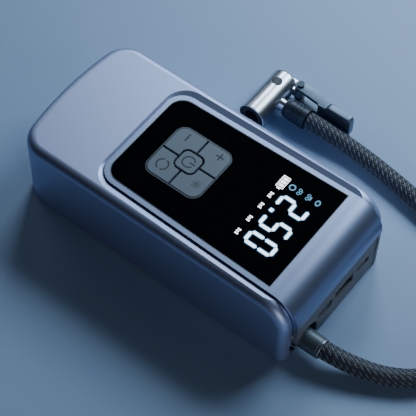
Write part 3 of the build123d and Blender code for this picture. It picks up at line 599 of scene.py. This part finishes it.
def outlet_fittings():
    """The knurled ring behind the nut, and the nut with its grooves and bright end."""
    bm = bmesh.new()
    profile = [(73.1, 4.64, 0), (73.1, 6.7, 0), (73.4, 7.08, 1), (75.1, 7.08, 1), (75.4, 6.7, 0),
               (75.4, 4.64, 0)]
    lathe(bm, profile, on_outlet, 96, 0.22)
    ring = piece("knurled_ring", bm, RING_METAL, "housing", 20)
    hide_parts("outlet_ring")
    bm = bmesh.new()
    profile = [(77.2, 4.72, 0), (77.2, 4.95, 0), (77.45, 5.2, 0), (78.9, 5.2, 0), (79.05, 4.98, 0),
               (79.35, 4.98, 0), (79.5, 5.2, 0), (87.0, 5.2, 0), (87.15, 5.05, 0), (87.7, 5.05, 0),
               (87.7, 4.72, 0)]
    lathe(bm, profile, on_outlet, 96)
    nut = piece("nut_sleeve", bm, GUNMETAL, "hose_nut", 24)
    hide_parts("coupling_nut")
    bm = bmesh.new()
    profile = [(87.72, 4.72, 0), (87.72, 5.05, 0), (87.85, 5.2, 0), (88.4, 5.2, 0), (88.6, 5.0, 0),
               (88.6, 4.72, 0)]
    lathe(bm, profile, on_outlet)
    rim = piece("nut_rim", bm, RING_METAL, "hose_nut", 24)
    return nut, rim


def port_details():
    """Lips round the openings, the lamp's ribs and the small charge light."""
    bm = bmesh.new()
    for x, width, height, radius in ((-4.4, 13.9, 6.5, 0.9), (-19.2, 9.7, 4.0, 1.9),
                                     (10.2, 10.5, 6.5, 3.2)):
        outer = rounded(x, PORT_Z, width + 0.9, height + 0.9, radius + 0.45)
        inner = rounded(x, PORT_Z, width + 0.05, height + 0.05, radius + 0.02)
        band(bm, outer, inner, PANEL_Y - 0.4, PANEL_Y + 0.12, facing_y)
    piece("port_lips", bm, PANEL, "housing")
    bm = bmesh.new()
    for i in range(7):
        x = 10.2 - 3.6 + 1.2 * i
        tall = 2.3 if abs(i - 3) < 3 else 1.5
        plate(bm, rounded(x, PORT_Z, 0.5, 2 * tall, 0.2, 3), 78.5, 78.8, facing_y, 0.1)
    piece("lamp_ribs", bm, LENS, "housing")
    bm = bmesh.new()
    plate(bm, circle(-26.3, PORT_Z, 0.55, 24), PANEL_Y - 0.3, PANEL_Y + 0.08, facing_y, 0.06)
    piece("charge_light", bm, LENS, "housing")


# ---------------------------------------------------------------- chuck

def chuck_details():
    """The ferrule with its crimps, and the barrel's slot screw and rubber lip."""
    bm = bmesh.new()
    profile = [(-5.0, 1.7, 0), (-5.0, 3.7, 0), (-4.4, 4.6, 0), (-3.2, 5.15, 0), (-1.6, 5.4, 0),
               (0.6, 5.4, 0), (0.8, 5.1, 0), (1.4, 5.1, 0), (1.6, 5.4, 0), (2.6, 5.4, 0),
               (2.8, 5.1, 0), (3.4, 5.1, 0), (3.6, 5.4, 0), (4.6, 5.4, 0), (4.8, 5.1, 0),
               (5.4, 5.1, 0), (5.6, 5.4, 0), (8.1, 5.4, 0), (8.4, 5.15, 0), (8.4, 4.2, 0),
               (7.6, 1.7, 0)]
    lathe(bm, profile, on_hose_end)
    ferrule = piece("hose_ferrule", bm, FERRULE, "housing", 24)
    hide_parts("chuck_ferrule")
    bm = bmesh.new()
    top = BARREL_Z + BARREL_R
    spot_x = SCREW_X
    plate(bm, circle(spot_x, BARREL_Y, 2.6, 36), top - 0.9, top + 0.05, flat, 0.15)
    screw = piece("barrel_screw", bm, BLACK, "housing")
    bm = bmesh.new()
    plate(bm, bar(spot_x - 2.1, spot_x + 2.1, BARREL_Y - 0.4, BARREL_Y + 0.4), top, top + 0.07)
    groove = piece("screw_slot", bm, FERRULE, "housing")
    bm = bmesh.new()
    profile = [(-60.3, 7.0, 0), (-60.05, 7.0, 0), (-59.95, 6.85, 0), (-59.95, 5.7, 0),
               (-60.3, 5.7, 0)]
    lathe(bm, profile, on_barrel)
    lip = piece("barrel_lip", bm, RUBBER, "housing", 24)
    return ferrule, screw, groove, lip


def lever():
    """The thumb lever with eased edges: two cheeks, a web and a tall ribbed tab."""
    x, y = LEVER_X, LEVER_Y
    bm = bmesh.new()
    cheek = arc_points(x, y, 2.9, 180, 360, 16)
    cheek += [(x + 4.7, y + 18.4), (x + 1.0, y + 18.4), (x - 1.6, y + 10.0)]
    plate(bm, cheek, 2.4, 4.3, flat, 0.3, True)
    plate(bm, cheek, 10.3, 12.2, flat, 0.35, True)
    plate(bm, rounded(x + 2.85, y + 16.2, 3.6, 5.6, 0.6), 2.5, 12.1)
    tab = rounded(y + 25.6, 7.3, 14.8, 13.4, 2.2)
    plate(bm, tab, x + 1.1, x + 4.9, facing_x, 0.6, True)
    for i in range(4):
        rib = rounded(y + 24.0 + 2.2 * i, 7.3, 0.7, 9.0, 0.3, 3)
        plate(bm, rib, x + 1.2, x + 0.85, facing_x, 0.12)
    item = piece("thumb_lever", bm, LEVER, "lever", 35)
    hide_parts("chuck_lever")
    return item


# ---------------------------------------------------------------- hose

def curve_object(name, points, bevel):
    """A NURBS curve of one open spline, thick where bevel is above 0."""
    data = bpy.data.curves.new(name, "CURVE")
    data.dimensions = "3D"
    data.resolution_u = 24
    data.bevel_depth = bevel
    data.bevel_resolution = 6
    data.use_fill_caps = bevel > 0
    spline = data.splines.new("NURBS")
    spline.points.add(len(points) - 1)
    for point, at in zip(spline.points, points):
        point.co = (*at, 1)
    spline.order_u = 3
    spline.use_endpoint_u = True
    item = bpy.data.objects.new(name, data)
    bpy.context.scene.collection.objects.link(item)
    return item


def centre_line(step):
    """Evenly spaced points on the route's own smooth spline."""
    guide = curve_object("guide", HOSE_ROUTE, 0.0)
    bpy.context.view_layer.update()
    mesh = bpy.data.meshes.new_from_object(guide)
    points = [vertex.co.copy() for vertex in mesh.vertices]
    bpy.data.objects.remove(guide)
    bpy.data.meshes.remove(mesh)
    spaced = [points[0]]
    wanted = step
    travelled = 0.0
    for before, after in zip(points, points[1:]):
        length = (after - before).length
        while length > 0 and travelled + length >= wanted:
            spaced.append(before.lerp(after, (wanted - travelled) / length))
            wanted += step
        travelled += length
    return spaced


def braid_frames(points):
    """Centre, sideways and upward directions along the line, turning as little as possible."""
    frames = []
    side = Vector((1, 0, 0))
    for i, point in enumerate(points):
        ahead = (points[min(i + 1, len(points) - 1)] - points[max(i - 1, 0)]).normalized()
        side = (side - ahead * side.dot(ahead)).normalized()
        frames.append((point, side, ahead.cross(side)))
    return frames


def strand(bm, frames, step, start, turn):
    """A flat yarn that winds round the core and goes over and under its neighbours."""
    mean_r = HOSE_DIAMETER / 2 - 0.18 * MM
    wide = 0.46 * MM
    thick = 0.12 * MM
    before = None
    for i, (point, side, up) in enumerate(frames):
        angle = start + turn * 2 * math.pi * i * step / BRAID_PITCH
        crossing = BRAID_STRANDS * i * step / BRAID_PITCH * math.pi
        radius = mean_r + 0.13 * MM * math.cos(crossing + (0 if turn > 0 else math.pi))
        outward = side * math.cos(angle) + up * math.sin(angle)
        around = up * math.cos(angle) - side * math.sin(angle)
        corners = []
        for a, b in ((-wide, -thick), (wide, -thick), (0.6 * wide, thick), (-0.6 * wide, thick)):
            corners.append(bm.verts.new(point + outward * (radius + b) + around * a))
        if before:
            for j in range(4):
                k = (j + 1) % 4
                bm.faces.new((before[j], before[k], corners[k], corners[j]))
        before = corners


def braid(name, material, turn, offset, count):
    """One family of yarns, as one mesh."""
    step = 0.9 * MM
    frames = braid_frames(centre_line(step))
    bm = bmesh.new()
    for k in range(count):
        strand(bm, frames, step, 2 * math.pi * (k + offset) / count, turn)
    bmesh.ops.recalc_face_normals(bm, faces=bm.faces)
    mesh = bpy.data.meshes.new(name)
    bm.to_mesh(mesh)
    bm.free()
    mesh.materials.append(material)
    mesh.shade_smooth()
    item = bpy.data.objects.new(name, mesh)
    bpy.context.scene.collection.objects.link(item)
    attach(item, "housing")
    return item


def hose(pieces):
    """The hose's core and its yarns. The pieces it is given are not used."""
    core = curve_object("hose_core", HOSE_ROUTE, HOSE_DIAMETER / 2 - 0.35 * MM)
    core.data.materials.append(CORD_CORE)
    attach(core, "housing")
    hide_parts("hose")
    yarns = [
        braid("braid_light", BRIGHT_THREAD, 1, 0.0, BRAID_STRANDS // 2),
        braid("braid_dark", THREAD, 1, 0.5, BRAID_STRANDS // 2),
        braid("braid_back", THREAD, -1, 0.0, BRAID_STRANDS),
    ]


# ---------------------------------------------------------------- underside

def underside():
    """A plain framed field on the cover, where such tools carry their rating."""
    bm = bmesh.new()
    outer = rounded(0.0, -32.0, 44.0, 26.0, 2.5)
    inner = rounded(0.0, -32.0, 42.6, 24.6, 1.8)
    band(bm, outer, inner, 0.85, 0.62)
    piece("cover_frame", bm, BASE, "housing")


def finish_cad():
    """Shading and materials of every CAD node that is shown."""
    smooth_cad()
    paint(SHELL, "upper_shell")
    paint(TONGUE, "fascia_frame")
    paint(GLASS, "display_lens")
    paint(KEYS, "key_plus", "key_lamp", "key_minus", "key_mode", "key_power")
    paint(PANEL, "end_panel", "vent_grille")
    paint(CHROME, "chuck_barrel", "chuck_neck", "lamp_reflector")
    paint(BASE, "base_cover")
    paint(BLACK, "battery_holder", "board_parts", "display_module", "pressure_sensor")
    paint(RUBBER, "chuck_gasket", "feet", "outlet_seal", "piston_seal")
    paint(FERRULE, "lever_pin")
    paint(STEEL, "base_screws", "motor_can", "motor_shaft", "gear_shaft",
          "crank_pin", "reed_valve", "bracket_screws")
    # The sockets carry painted shade: their metal is darkened to near black.
    paint(SOCKET_DARKENED, "usb_a_socket", "usb_c_socket")
    paint(BEZEL, "key_bezel")
    paint(BRASS, "pinion", "gear_bush", "air_pipe", "outlet_block", "chuck_plunger")
    paint(CAST, "gearbox_bracket", "cylinder", "cylinder_head")
    paint(WHITE, "motor_end_cap", "drive_gear")
    paint(SILICONE, "key_mat")
    paint(MAGNET, "motor_magnets", "motor_rotor", "piston", "connecting_rod")
    paint(CELL, "battery_cells")
    paint(NICKEL, "battery_tabs")
    paint(LENS, "lamp_lens")
    paint(LED, "lamp_led")
    paint(CIRCUIT, "display_board", "main_board", "port_board")


camera()
stage()
nut_pieces = outlet_fittings()
chuck_pieces = chuck_details()
hose(nut_pieces + chuck_pieces + (lever(),))
display()
glass_edge_highlight()
key_signs()
port_details()
underside()
finish_cad()
